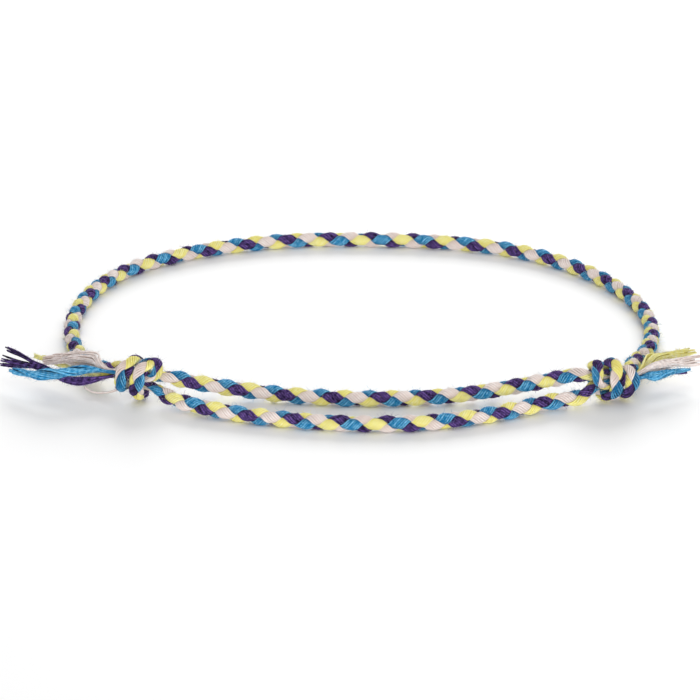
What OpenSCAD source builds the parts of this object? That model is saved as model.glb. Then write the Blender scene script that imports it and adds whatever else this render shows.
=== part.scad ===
// Friendship bracelet of braided cotton floss, lying open on a table.
// One round cord is braided from four strands. It is laid as a long loop whose ends overlap along the
// front, and each end is tied round the other end's cord in a sliding knot. Past its knot each end
// comes loose into four locks of floss, the tail. Each strand runs from tail to tail as one solid.
// Millimetres, +Z up, X along the overlap, +Y from the knots towards the far side of the loop.

/* [Cord] */
// Diameter of the braided cord
cord_d = 2.0; // [1.8:0.05:2.2]
// Length of cord in which a strand goes once round it
braid_pitch = 5.8; // [5.4:0.1:6.4]
// Thickness of a strand where it lies over its neighbours
strand_t = 0.26; // [0.22:0.02:0.3]
// Width of a strand, across its threads
strand_w = 1.0; // [0.8:0.1:1.2]
// Distance from the cord's axis to a strand's middle where it dives under its neighbours
dive_r = 0.25; // [0.22:0.01:0.28]

/* [Knots] */
// Height of the left knot's middle above the table
knot_left_z = 2.85; // [2.8:0.05:3.2]
// Height of the right knot's middle above the table
knot_right_z = 2.85; // [2.8:0.05:3.2]
// Angle by which each knot's outer end turns away from the front
knot_yaw = 24; // [18:1:28]

/* [Tails] */
// Length over which the braid opens into its four loose locks
tail_open = 4.0; // [3:0.5:5]
// Width of a loose lock
lock_w = 1.3; // [1:0.1:1.6]
// Thickness of a loose lock
lock_t = 0.45; // [0.35:0.05:0.55]

/* [Hidden] */

// Colours of the floss
PURPLE = [0.24, 0.14, 0.38];
CREAM = [0.89, 0.84, 0.82];
TURQUOISE = [0.16, 0.53, 0.69];
YELLOW = [0.89, 0.85, 0.42];

// Fineness: rings of a strand for each turn of the free braid, how many times as many a knot has,
// how far a knot reaches in cord diameters, and spline steps for each route point
RINGS_PER_TURN = 6.7;
KNOT_FINENESS = 1.25;
KNOT_REACH = 2.2;
STEPS = 16;
// Spacing of the stations at which the cord's axis is measured
STATION = 0.3;

// Route of the cord's axis, chosen by hand: x, y and how far the axis lies above its resting height
RING = [
    [35.4, -18.2, 0.9], [38.2, -12.0, 0], [39.6, -4.5, 0], [39.0, 3.5, 0], [36.2, 12.0, 0],
    [31.0, 20.0, 0], [23.0, 26.8, 0], [13.0, 30.0, 0], [2.5, 30.8, 0], [-8.0, 30.8, 0],
    [-18.0, 27.8, 0], [-27.0, 22.6, 0], [-33.0, 15.2, 0], [-36.0, 6.0, 0], [-36.6, -3.0, 0],
    [-35.4, -10.6, 0], [-34.0, -15.4, 0.1], [-31.9, -19.4, 0.7]
];
FRONT_FAR = [
    [-20.4, -25.0, 1.4], [-15.0, -25.2, 0.6], [-8.5, -26.0, 0], [-1.5, -27.2, 0], [6.0, -27.2, 0],
    [13.0, -26.7, 0.1], [19.5, -25.2, 0.6], [25.6, -24.0, 1.3]
];
FRONT_NEAR = [
    [-20.5, -29.6, 0.4], [-14.5, -32.0, 0], [-7.5, -34.1, 0], [0.5, -35.3, 0], [8.0, -35.3, 0],
    [14.5, -33.6, 0], [20.5, -30.8, 0], [26.0, -28.2, 0.4]
];
TAIL_LEFT = [[-31.4, -23.9, 2.0], [-34.0, -22.8, 2.1], [-37.5, -21.6, 2.1], [-42.0, -19.6, 2.0]];
TAIL_RIGHT = [[37.4, -22.9, 2.0], [39.5, -21.8, 2.1], [42.0, -20.3, 2.1], [44.0, -19.2, 2.0]];

// Middles of the two knots in plan
KNOT_LEFT = [-26.1, -24.9];
KNOT_RIGHT = [32.5, -25.3];

// A pass of the cord through or round a knot. Each row is
// [along the knot towards its tail, angle round it from the front over the top, distance off its axis,
//  size of the cord, how far the cord is pressed flat against the knot],
// with lengths as shares of the cord's diameter and the last two as shares of the free cord
IN = 0.57;
COIL_SIZE = 0.98;
COIL_PRESS = 0.64;
COIL_R = 1.05;
SLOT_R = 0.37;
LEFT_LEAD = [
    [-1.89, 300, 0.85, 0.95, 1], [-1.26, 290, 0.48, 0.72, 1], [-0.72, 285, SLOT_R, IN, 1],
    [0, 280, SLOT_R, IN, 1], [0.54, 277, SLOT_R, IN, 1], [0.94, 282, 0.53, 0.60, 1],
    [1.06, 308, 0.85, 0.68, 0.85], [0.99, 340, 1.06, 0.92, 0.75]
];
LEFT_COIL = [[20, 0.78], [90, 0.54], [180, 0.29], [270, 0.01], [360, -0.24], [450, -0.53]];
LEFT_TUCK = [
    [-0.90, 470, 1.12, 0.84, 0.78], [-1.26, 455, 1.06, 0.68, 0.90], [-1.32, 425, 0.70, 0.60, 1],
    [-1.05, 402, 0.42, IN, 1], [-0.54, 397, SLOT_R, IN, 1], [0.18, 395, SLOT_R, IN, 1],
    [0.81, 395, SLOT_R, IN, 1], [1.35, 395, 0.42, 0.64, 1]
];
LEFT_CORE = [
    [1.98, 175, 0.80, 0.97, 1], [1.26, 165, 0.45, 0.75, 1], [0.63, 158, SLOT_R, IN, 1],
    [-0.63, 158, SLOT_R, IN, 1], [-1.26, 163, 0.46, 0.72, 1], [-1.98, 168, 0.70, 0.97, 1]
];
RIGHT_LEAD = [
    [-1.98, 150, 0.85, 0.97, 1], [-1.35, 125, 0.40, 0.64, 1], [-0.72, 105, 0.36, IN, 1],
    [0, 95, SLOT_R, IN, 1], [0.54, 90, 0.38, IN, 1], [0.92, 80, 0.55, 0.66, 1],
    [1.04, 50, 0.85, 0.78, 0.85], [1.00, 20, 1.06, 0.95, 0.75]
];
RIGHT_COIL = [
    [-20, 0.90], [-90, 0.69], [-180, 0.40], [-270, 0.11], [-360, -0.10], [-450, -0.36],
    [-540, -0.64], [-600, -0.80]
];
RIGHT_TUCK = [
    [-1.06, -640, 1.10, 0.86, 0.78], [-1.30, -675, 0.94, 0.66, 0.95], [-1.24, -715, 0.6, 0.60, 1],
    [-0.81, -740, 0.40, IN, 1], [0, -745, 0.36, IN, 1], [0.72, -745, 0.36, IN, 1],
    [1.35, -735, 0.40, 0.66, 1]
];
RIGHT_CORE = [
    [1.98, 170, 0.80, 0.97, 1], [1.26, 190, 0.46, 0.70, 1], [0.63, 205, 0.36, IN, 1],
    [-0.63, 215, 0.36, IN, 1], [-1.26, 240, 0.50, 0.78, 1], [-1.98, 275, 0.95, 0.98, 1]
];

// Where the braid was worked tighter or looser, and how its four columns are rolled about the cord.
// Each row is [share of the cord's length, turns gained, angle of the columns]
DRIFT = [
    [0, -0.50, -180], [0.036, -0.50, -180], [0.052, -0.62, -265], [0.068, -0.62, -255],
    [0.078, -0.47, -191], [0.094, -0.45, -75], [0.100, -0.45, -75], [0.108, -0.60, -120],
    [0.130, -0.76, -221], [0.180, -0.72, -330], [0.257, -0.67, -496], [0.328, -1.23, -504],
    [0.350, -0.68, -504], [0.363, -0.58, -523], [0.428, -0.56, -607], [0.448, -0.56, -618],
    [0.528, -0.66, -762], [0.595, -0.64, -893], [0.619, -0.36, -932], [0.674, -0.17, -1042],
    [0.738, -0.29, -976], [0.768, -0.34, -990], [0.800, -0.39, -1025], [0.846, -0.31, -1060],
    [0.861, -0.21, -1065], [0.884, -0.45, -1073], [0.898, -0.45, -1073], [0.914, -0.90, -1080],
    [0.932, -0.90, -1080], [0.944, -0.82, -1040], [0.950, -0.75, -1040], [0.960, -0.75, -1080],
    [0.973, -0.785, -1110], [1, -0.785, -1110]
];

// Loose locks of the tails, from the knot to the tip: x, y and height above the table
LEFT_LOCKS = [
    [[-29.7, -25.7, 2.5], [-31.6, -25.6, 2.4], [-33.7, -24.9, 2.3], [-35.5, -24.2, 2.3],
     [-36.8, -23.1, 2.5], [-38.1, -22.0, 2.8], [-39.7, -21.1, 3.1], [-41.8, -20.0, 3.3],
     [-43.9, -18.6, 3.4]],
    [[-29.7, -23.5, 3.9], [-31.4, -22.0, 3.9], [-33.3, -20.8, 3.8], [-35.2, -19.9, 3.6],
     [-37.1, -19.7, 3.3], [-38.8, -19.6, 3.0]],
    [[-29.8, -24.1, 3.6], [-31.7, -24.1, 3.8], [-33.7, -24.5, 3.8], [-35.5, -25.1, 3.6],
     [-37.4, -25.1, 3.4], [-39.3, -24.4, 3.1], [-41.0, -23.2, 2.9], [-42.6, -22.3, 2.8]],
    [[-30.0, -23.7, 2.9], [-31.9, -23.2, 2.6], [-33.9, -21.7, 2.4], [-35.9, -19.8, 2.4],
     [-37.9, -18.2, 2.5], [-40.0, -17.1, 2.8]]
];
RIGHT_LOCKS = [
    [[35.9, -22.4, 2.1], [37.7, -20.8, 1.8], [39.3, -20.1, 1.7], [40.8, -20.4, 1.8], [42.4, -21.0, 2.0]],
    [[35.5, -24.8, 3.7], [37.4, -23.6, 3.7], [39.4, -22.3, 3.6], [41.4, -21.1, 3.4], [44.4, -20.0, 3.3]],
    [[35.7, -25.2, 2.7], [37.4, -25.0, 2.9], [39.0, -23.9, 2.9], [40.7, -22.7, 2.9], [42.7, -22.1, 2.9]],
    [[35.5, -21.9, 3.1], [37.2, -20.0, 3.1], [39.2, -18.5, 3.1], [41.1, -17.6, 3.1], [43.8, -16.1, 3.0]]
];
// Way in which a loose lock is wide: up and away from the front
LOCK_LEAN = [0, 0.7, 0.7];

// Corners of a strand's section: [share of half its width, share of half its thickness]
SECTION = [[-1, 0], [0, 1], [1, 0], [0, -1]];

// Middle and swing of a strand's distance from the cord's axis
over_r = cord_d/2 - strand_t/2;
mid_r = (over_r + dive_r)/2;
swing_r = (over_r - dive_r)/2;
// Slope of a strand's path against the cord's axis, where it lies over its neighbours
slope = atan(360/braid_pitch*PI/180*over_r);

function unit(v) = v/norm(v);
function xyz(row) = [row[0], row[1], row[2]];
function mix(a, b, share) = a*(1 - share) + b*share;
function reversed(list) = [for (i = [len(list) - 1 : -1 : 0]) list[i]];
function smooth(x) = let(c = min(1, max(0, x))) c*c*(3 - 2*c);

// Smooth curve drawn near the points of a list, which starts and ends on its first and last point
function spline(points, steps) =
    let(
        last = len(points) - 1,
        p = concat([2*points[0] - points[1]], points, [2*points[last] - points[last - 1]])
    )
    [for (i = [0 : last - 1], j = [0 : steps - 1])
        let(f = j/steps)
        ((1 - f)^3*p[i] + (3*f^3 - 6*f^2 + 4)*p[i + 1] + (1 + 3*f + 3*f^2 - 3*f^3)*p[i + 2]
            + f^3*p[i + 3])/6,
     points[last]];

// Value at a place between the entries of a list, counted from 0 to 1 along it
function along(list, share) =
    let(k = min(1, max(0, share))*(len(list) - 1), i = min(floor(k), len(list) - 2))
    mix(list[i], list[i + 1], k - i);

// A knot is [middle, direction of its tail, direction of its front]
function knot(middle, z, side) = [
    [middle[0], middle[1], z],
    [side*cos(knot_yaw), sin(knot_yaw), 0],
    [side*sin(knot_yaw), -cos(knot_yaw), 0]
];
left_knot = knot(KNOT_LEFT, knot_left_z, -1);
right_knot = knot(KNOT_RIGHT, knot_right_z, 1);

// Route points of a knot's table
function knot_rows(k, rows) = [for (r = rows)
    let(p = k[0] + cord_d*(r[0]*k[1] + r[2]*(cos(r[1])*k[2] + [0, 0, sin(r[1])])))
    [p[0], p[1], p[2], r[3], r[4]]];

// Turns of a knot's coil, from a table of [angle round the knot, place along it]
COIL_STEP = 45;
function coil_rows(table) =
    let(
        first = table[0][0],
        span = table[len(table) - 1][0] - first,
        n = round(abs(span)/COIL_STEP),
        // A spline cuts inside its points, so they stand off by this much
        stand_off = 3/(2 + cos(span/n)),
        sorted = [for (row = table) [abs(row[0] - first), row[1]]]
    )
    [for (i = [0 : n])
        [lookup(abs(span)*i/n, sorted), first + span*i/n, COIL_R*stand_off, COIL_SIZE, COIL_PRESS]];

// Route points of a free stretch
function free_rows(points) = [for (p = points) [p[0], p[1], p[2] + cord_d/2, 1, 1]];

left_turns = concat(LEFT_LEAD, coil_rows(LEFT_COIL), LEFT_TUCK);
right_turns = concat(RIGHT_LEAD, coil_rows(RIGHT_COIL), RIGHT_TUCK);
route = concat(
    reversed(free_rows(TAIL_LEFT)),
    reversed(knot_rows(left_knot, left_turns)),
    free_rows(FRONT_NEAR),
    reversed(knot_rows(right_knot, RIGHT_CORE)),
    free_rows(RING),
    knot_rows(left_knot, LEFT_CORE),
    free_rows(FRONT_FAR),
    knot_rows(right_knot, right_turns),
    free_rows(TAIL_RIGHT)
);

// The axis as fine points, and the length run at each of them
axis_fine = spline(route, STEPS);
run = [for (i = 0, s = 0; i < len(axis_fine);
    s = s + (i + 1 < len(axis_fine) ? norm(xyz(axis_fine[i + 1]) - xyz(axis_fine[i])) : 0), i = i + 1) s];
cord_length = run[len(run) - 1];
left_exit = run[len(TAIL_LEFT)*STEPS];
right_exit = run[(len(route) - 1 - len(TAIL_RIGHT))*STEPS];

// Even stations along the axis: place, size and press
columns = [for (c = [0 : 4]) [for (i = [0 : len(run) - 1]) [run[i], axis_fine[i][c]]]];
station_count = round(cord_length/STATION);
station_rows = [for (i = [0 : station_count])
    [for (c = [0 : 4]) lookup(cord_length*i/station_count, columns[c])]];
places = [for (row = station_rows) xyz(row)];
tangents = [for (i = [0 : station_count])
    unit(places[min(i + 1, station_count)] - places[max(i - 1, 0)])];

// A side direction carried along the axis without twist
sides = [for (i = 0, v = unit(cross(tangents[0], [0, 1, 0])); i <= station_count;
    i = i + 1, v = i <= station_count ? unit(v - (v*tangents[i])*tangents[i]) : v) v];

// Direction out of the nearer knot, in which the cord is pressed flat
function out_of_knot(p) =
    let(k = p[0] < 0 ? left_knot : right_knot, d = p - k[0])
    unit(d - (d*k[1])*k[1]);

// Each station as [place, side, other side, direction out of the knot, [size, press]]
stations = [for (i = [0 : station_count])
    [places[i], sides[i], cross(tangents[i], sides[i]), out_of_knot(places[i]),
     [station_rows[i][3], station_rows[i][4], 0]]];

drift_turns = [for (row = DRIFT) [row[0]*cord_length, row[1]]];
drift_roll = [for (row = DRIFT) [row[0]*cord_length, row[2]]];

// Point of a strand, at a length s along the cord, a distance across the strand and a height on it.
// Two strands wind one way (hand 1) and two the other (hand -1), each half a turn from its twin
function braid_point(s, hand, start, across, height) =
    let(
        s2 = s + across*sin(slope),
        shift = across/sin(slope)/braid_pitch,
        turns = s2/braid_pitch + lookup(s2, drift_turns),
        angle = hand*360*(turns - shift) + start + lookup(s2, drift_roll),
        r = mid_r + hand*swing_r*cos(720*(turns - shift/2)) + height,
        c = along(stations, s2/cord_length),
        off = r*c[4][0]*(cos(angle)*c[1] + sin(angle)*c[2])
    )
    c[0] + off - (1 - c[4][1])*(off*c[3])*c[3];

// The four strands, purple, cream, turquoise and yellow: [hand, start angle, place in the lists of locks]
STRANDS = [[1, 0, 0], [1, 180, 1], [-1, 180, 2], [-1, 0, 3]];

// Middle of a strand at a length s along the cord: in the braid and knots, or in its loose lock
function strand_middle(strand, s) =
    let(
        held = min(right_exit, max(left_exit, s)),
        at_knot = braid_point(held, strand[0], strand[1], 0, 0),
        past = abs(s - held),
        locks = s < held ? LEFT_LOCKS : RIGHT_LOCKS,
        reach = s < held ? left_exit : cord_length - right_exit,
        lock = along(spline(locks[strand[2]], 6), past/reach),
        free = at_knot + along(places, s/cord_length) - along(places, held/cord_length)
    )
    past > 0 ? mix(free, lock, smooth(past/tail_open)) : at_knot;

// Ring of a strand's section in the braid and knots
function braid_ring(strand, s) = [for (c = SECTION)
    braid_point(s, strand[0], strand[1], c[0]*strand_w/2, c[1]*strand_t/2)];

// Ring of a loose lock: its width turns from the way that it lies in at the knot to its lean
function lock_ring(strand, s) =
    let(
        held = min(right_exit, max(left_exit, s)),
        start = braid_ring(strand, held),
        t = unit(strand_middle(strand, min(s + STATION, cord_length))
            - strand_middle(strand, max(s - STATION, 0))),
        wide = start[2] - start[0],
        grown = smooth(abs(s - held)/tail_open),
        turned = mix(unit(wide), LOCK_LEAN*(wide*LOCK_LEAN < 0 ? -1 : 1), grown),
        across = unit(turned - (turned*t)*t),
        up = strand[0]*cross(t, across),
        w = mix(norm(wide), lock_w, grown)/2,
        h = mix(norm(start[1] - start[3]), lock_t, grown)/2
    )
    [for (c = SECTION) strand_middle(strand, s) + c[0]*w*across + c[1]*h*up];

// Turns that a strand makes between a station and the next, with those of its rolling columns
function winding(i) =
    let(s = i/station_count*cord_length, s2 = s + STATION)
    STATION/braid_pitch + lookup(s2, drift_turns) - lookup(s, drift_turns)
        + abs(lookup(s2, drift_roll) - lookup(s, drift_roll))/360;

// Lengths along the cord at which the rings lie, closer together in the knots
function near_knot(p) = min(norm(p - left_knot[0]), norm(p - right_knot[0])) < KNOT_REACH*cord_d;
marks = [for (i = 0, m = 0; i <= station_count;
    m = m + winding(i)*(near_knot(places[i]) ? KNOT_FINENESS : 1), i = i + 1)
    [m, i/station_count*cord_length]];
last_mark = marks[station_count][0];
ring_count = round(last_mark*RINGS_PER_TURN);
ring_lengths = [for (i = [0 : ring_count]) lookup(last_mark*i/ring_count, marks)];

function rings(strand) = [for (s = ring_lengths)
    s < left_exit || s > right_exit ? lock_ring(strand, s) : braid_ring(strand, s)];
all_rings = [for (strand = STRANDS) rings(strand)];

// The part stands on its lowest point, with its origin below the middle of its box
all_points = [for (strand = all_rings, ring = strand, p = ring) p];
lowest = [for (c = [0 : 2]) min([for (p = all_points) p[c]])];
highest = [for (c = [0 : 2]) max([for (p = all_points) p[c]])];
origin = [(lowest[0] + highest[0])/2, (lowest[1] + highest[1])/2, lowest[2]];

// A tube through a list of rings, closed at both ends. The faces of a strand of hand -1 are mirrored
module tube(rings, hand) {
    n = len(rings[0]);
    last = len(rings) - 1;
    sides = [for (i = [0 : last - 1], j = [0 : n - 1])
        let(a = i*n + j, b = i*n + (j + 1)%n)
        each [[a, b, b + n], [a, b + n, a + n]]];
    ends = [[for (j = [n - 1 : -1 : 0]) j], [for (j = [0 : n - 1]) last*n + j]];
    faces = concat(sides, ends);
    polyhedron([for (ring = rings, p = ring) p], hand > 0 ? faces : [for (f = faces) reversed(f)]);
}

module strand(index) {
    translate(-origin)
        tube(all_rings[index], STRANDS[index][0]);
}

// Purple strand
module strand_purple() {
    color(PURPLE) strand(0);
}

// Cream strand, opposite the purple one
module strand_cream() {
    color(CREAM) strand(1);
}

// Turquoise strand, which winds the other way
module strand_turquoise() {
    color(TURQUOISE) strand(2);
}

// Yellow strand, opposite the turquoise one
module strand_yellow() {
    color(YELLOW) strand(3);
}

strand_purple();
strand_cream();
strand_turquoise();
strand_yellow();
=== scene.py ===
# %% [markdown]
# # A friendship bracelet of braided cotton floss
# The real thing is one round cord, braided from four strands of cotton floss: purple, cream,
# turquoise and yellow. Each end of the cord is tied round the other end's cord in a sliding knot, and
# past its knot it comes loose into a tail. It lies open on a white table.
#
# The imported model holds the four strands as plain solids. A strand could be dressed with a picture of
# threads, but then its outline would stay smooth and angular. Here every thread is a thin tube of its
# own, so the outline, the gaps and the shadows between the threads are all real shape.

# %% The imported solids
import math
import bpy
import numpy as np
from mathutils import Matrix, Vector
from mathutils.kdtree import KDTree


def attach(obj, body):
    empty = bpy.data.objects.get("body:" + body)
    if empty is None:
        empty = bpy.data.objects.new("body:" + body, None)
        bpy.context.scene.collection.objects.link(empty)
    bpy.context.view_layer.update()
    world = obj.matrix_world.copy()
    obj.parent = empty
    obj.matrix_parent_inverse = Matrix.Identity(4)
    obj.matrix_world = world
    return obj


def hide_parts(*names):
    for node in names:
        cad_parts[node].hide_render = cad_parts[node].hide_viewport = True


MM = 0.001
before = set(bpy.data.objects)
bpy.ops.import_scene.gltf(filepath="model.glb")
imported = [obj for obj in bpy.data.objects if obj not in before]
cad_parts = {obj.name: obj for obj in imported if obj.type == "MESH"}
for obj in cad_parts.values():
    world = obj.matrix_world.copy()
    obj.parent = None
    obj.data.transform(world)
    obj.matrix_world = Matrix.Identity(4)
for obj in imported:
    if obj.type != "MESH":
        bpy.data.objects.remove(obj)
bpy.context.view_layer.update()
print("solids:", sorted(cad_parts))

# %% [markdown]
# ## The route of the cord
# A cord is easiest to place by its middle line. The points were chosen for the solids, and
# they are the same here, so that every thread lies where its strand's solid lies. Lengths are worked
# in millimetres and turned into metres at the very end, because a thread of 0.29 is easier to think
# about than one of 0.00029.

# %% Sizes of the cord: a strand is STRAND_T thick and dives to DIVE_R from the cord's middle
CORD_D = 2.0
BRAID_PITCH = 5.8
STRAND_T = 0.26
STRAND_W = 1.0
DIVE_R = 0.25
print(f"a cord {CORD_D} mm thick; a strand goes once round it in {BRAID_PITCH} mm")

# %% Points of the loop, the two front cords and the tails: x, y and height over the cord's own rest
RING = [
    [35.4, -18.2, 0.9], [38.2, -12.0, 0], [39.6, -4.5, 0], [39.0, 3.5, 0], [36.2, 12.0, 0],
    [31.0, 20.0, 0], [23.0, 26.8, 0], [13.0, 30.0, 0], [2.5, 30.8, 0], [-8.0, 30.8, 0],
    [-18.0, 27.8, 0], [-27.0, 22.6, 0], [-33.0, 15.2, 0], [-36.0, 6.0, 0], [-36.6, -3.0, 0],
    [-35.4, -10.6, 0], [-34.0, -15.4, 0.1], [-31.9, -19.4, 0.7]]
FRONT_FAR = [
    [-20.4, -25.0, 1.4], [-15.0, -25.2, 0.6], [-8.5, -26.0, 0], [-1.5, -27.2, 0], [6.0, -27.2, 0],
    [13.0, -26.7, 0.1], [19.5, -25.2, 0.6], [25.6, -24.0, 1.3]]
FRONT_NEAR = [
    [-20.5, -29.6, 0.4], [-14.5, -32.0, 0], [-7.5, -34.1, 0], [0.5, -35.3, 0], [8.0, -35.3, 0],
    [14.5, -33.6, 0], [20.5, -30.8, 0], [26.0, -28.2, 0.4]]
TAIL_LEFT = [[-31.4, -23.9, 2.0], [-34.0, -22.8, 2.1], [-37.5, -21.6, 2.1], [-42.0, -19.6, 2.0]]
TAIL_RIGHT = [[37.4, -22.9, 2.0], [39.5, -21.8, 2.1], [42.0, -20.3, 2.1], [44.0, -19.2, 2.0]]
print(f"loop: {len(RING)} points; front cords: {len(FRONT_FAR)} and {len(FRONT_NEAR)}; "
      f"tails: {len(TAIL_LEFT)} and {len(TAIL_RIGHT)}")

# %% [markdown]
# ## The two sliding knots
# Each end of the cord runs in through its knot beside the cord that the knot slides on, winds round
# both, and tucks out again under its own turns. Points in space would be hard to choose for that. A
# row of the tables below says how far along the knot a point is, at what angle round it, how far off
# its axis, how much the cord is squeezed there, and how flat it is pressed. Lengths are in cord
# diameters and angles in degrees. The rows of a coil hold only an angle and a place along the knot,
# because a coil keeps its distance, its size and its press.

# %% The places of the knots
KNOT_LEFT = [-26.1, -24.9]
KNOT_RIGHT = [32.5, -25.3]
KNOT_LEFT_Z = 2.85
KNOT_RIGHT_Z = 2.85
KNOT_YAW = 24
print(f"knots {KNOT_RIGHT[0] - KNOT_LEFT[0]:.1f} mm apart, their tails {KNOT_YAW} degrees to the back")

# %% The passes through the knots: a slot near the axis, and a coil round it
SLOT_SIZE = 0.57
SLOT_R = 0.37
COIL_SIZE = 0.98
COIL_PRESS = 0.64
COIL_R = 1.05
COIL_STEP = 45
LEFT_LEAD = [
    [-1.89, 300, 0.85, 0.95, 1], [-1.26, 290, 0.48, 0.72, 1], [-0.72, 285, SLOT_R, SLOT_SIZE, 1],
    [0, 280, SLOT_R, SLOT_SIZE, 1], [0.54, 277, SLOT_R, SLOT_SIZE, 1], [0.94, 282, 0.53, 0.60, 1],
    [1.06, 308, 0.85, 0.68, 0.85], [0.99, 340, 1.06, 0.92, 0.75]]
LEFT_COIL = [[20, 0.78], [90, 0.54], [180, 0.29], [270, 0.01], [360, -0.24], [450, -0.53]]
LEFT_TUCK = [
    [-0.90, 470, 1.12, 0.84, 0.78], [-1.26, 455, 1.06, 0.68, 0.90], [-1.32, 425, 0.70, 0.60, 1],
    [-1.05, 402, 0.42, SLOT_SIZE, 1], [-0.54, 397, SLOT_R, SLOT_SIZE, 1],
    [0.18, 395, SLOT_R, SLOT_SIZE, 1], [0.81, 395, SLOT_R, SLOT_SIZE, 1], [1.35, 395, 0.42, 0.64, 1]]
LEFT_CORE = [
    [1.98, 175, 0.80, 0.97, 1], [1.26, 165, 0.45, 0.75, 1], [0.63, 158, SLOT_R, SLOT_SIZE, 1],
    [-0.63, 158, SLOT_R, SLOT_SIZE, 1], [-1.26, 163, 0.46, 0.72, 1], [-1.98, 168, 0.70, 0.97, 1]]
RIGHT_LEAD = [
    [-1.98, 150, 0.85, 0.97, 1], [-1.35, 125, 0.40, 0.64, 1], [-0.72, 105, 0.36, SLOT_SIZE, 1],
    [0, 95, SLOT_R, SLOT_SIZE, 1], [0.54, 90, 0.38, SLOT_SIZE, 1], [0.92, 80, 0.55, 0.66, 1],
    [1.04, 50, 0.85, 0.78, 0.85], [1.00, 20, 1.06, 0.95, 0.75]]
RIGHT_COIL = [
    [-20, 0.90], [-90, 0.69], [-180, 0.40], [-270, 0.11], [-360, -0.10], [-450, -0.36],
    [-540, -0.64], [-600, -0.80]]
RIGHT_TUCK = [
    [-1.06, -640, 1.10, 0.86, 0.78], [-1.30, -675, 0.94, 0.66, 0.95], [-1.24, -715, 0.6, 0.60, 1],
    [-0.81, -740, 0.40, SLOT_SIZE, 1], [0, -745, 0.36, SLOT_SIZE, 1], [0.72, -745, 0.36, SLOT_SIZE, 1],
    [1.35, -735, 0.40, 0.66, 1]]
RIGHT_CORE = [
    [1.98, 170, 0.80, 0.97, 1], [1.26, 190, 0.46, 0.70, 1], [0.63, 205, 0.36, SLOT_SIZE, 1],
    [-0.63, 215, 0.36, SLOT_SIZE, 1], [-1.26, 240, 0.50, 0.78, 1], [-1.98, 275, 0.95, 0.98, 1]]
for side, coil in (("left", LEFT_COIL), ("right", RIGHT_COIL)):
    print(f"{side} knot: {abs(coil[-1][0] - coil[0][0])/360:.1f} turns of coil")

# %% [markdown]
# ## From tables to one smooth line
# A cubic B-spline passes near its points rather than through them, so it has no kinks even where the
# cord turns round a knot. Every point carries five numbers, its place, its size and its press, and
# the spline smooths all five alike.

# %% A smooth line past points
STEPS = 16


def unit(vectors):
    return vectors/np.linalg.norm(vectors, axis=-1, keepdims=True)


def smooth(x):
    """A soft step, from 0 at 0 to 1 at 1."""
    share = np.clip(x, 0, 1)
    return share*share*(3 - 2*share)


def spline(points, steps):
    """Rows of a cubic B-spline, so many steps from each point to the next."""
    rows = np.array(points, float)
    last = rows[-1]
    rows = np.vstack([2*rows[0] - rows[1], rows, 2*rows[-1] - rows[-2]])
    t = (np.arange(steps)/steps)[:, None]
    weights = [(1 - t)**3, 3*t**3 - 6*t**2 + 4, 1 + 3*t + 3*t**2 - 3*t**3, t**3]
    spans = [sum(weight*rows[i + n] for n, weight in enumerate(weights))/6
             for i in range(len(rows) - 3)]
    return np.vstack(spans + [last])


print(f"a spline past {len(RING)} points gives {len(spline(RING, STEPS))} places")


# %% Rows of the knots' tables as rows of the route: x, y, z, size and press
def knot_frame(middle, height, side):
    """A knot's middle, and the directions to its tail and to its front."""
    yaw = math.radians(KNOT_YAW)
    return {"middle": np.array([*middle, height]),
            "tailward": np.array([side*math.cos(yaw), math.sin(yaw), 0]),
            "front": np.array([side*math.sin(yaw), -math.cos(yaw), 0])}


def knot_rows(knot, rows):
    out = []
    for along, angle, off, size, press in rows:
        turn = math.radians(angle)
        sideways = off*(math.cos(turn)*knot["front"] + np.array([0, 0, math.sin(turn)]))
        out.append([*(knot["middle"] + CORD_D*(along*knot["tailward"] + sideways)), size, press])
    return out


def coil_rows(table):
    """A coil's rows. They stand off a little, because a spline passes inside its points."""
    first, span = table[0][0], table[-1][0] - table[0][0]
    count = round(abs(span)/COIL_STEP)
    stand_off = 3/(2 + math.cos(math.radians(span/count)))
    turned = [abs(angle - first) for angle, _ in table]
    places_along = [along for _, along in table]
    return [[np.interp(abs(span)*i/count, turned, places_along), first + span*i/count,
             COIL_R*stand_off, COIL_SIZE, COIL_PRESS] for i in range(count + 1)]


def free_rows(points):
    return [[x, y, z + CORD_D/2, 1, 1] for x, y, z in points]


left_knot = knot_frame(KNOT_LEFT, KNOT_LEFT_Z, -1)
right_knot = knot_frame(KNOT_RIGHT, KNOT_RIGHT_Z, 1)
left_turns = LEFT_LEAD + coil_rows(LEFT_COIL) + LEFT_TUCK
right_turns = RIGHT_LEAD + coil_rows(RIGHT_COIL) + RIGHT_TUCK
print(f"rows: {len(left_turns)} in the left knot's turns, {len(right_turns)} in the right knot's")

# %% The middle line of the cord
route = (free_rows(TAIL_LEFT)[::-1] + knot_rows(left_knot, left_turns)[::-1]
         + free_rows(FRONT_NEAR) + knot_rows(right_knot, RIGHT_CORE)[::-1]
         + free_rows(RING) + knot_rows(left_knot, LEFT_CORE)
         + free_rows(FRONT_FAR) + knot_rows(right_knot, right_turns) + free_rows(TAIL_RIGHT))
line = spline(route, STEPS)
run = np.concatenate([[0], np.cumsum(np.linalg.norm(np.diff(line[:, :3], axis=0), axis=1))])
cord_length = run[-1]
left_exit = run[len(TAIL_LEFT)*STEPS]
right_exit = run[(len(route) - 1 - len(TAIL_RIGHT))*STEPS]
tail_lengths = (left_exit, cord_length - right_exit)
print(f"cord: {len(route)} route points, {cord_length:.1f} mm from tip to tip")
print(f"tails: {tail_lengths[0]:.1f} and {tail_lengths[1]:.1f} mm")

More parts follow.
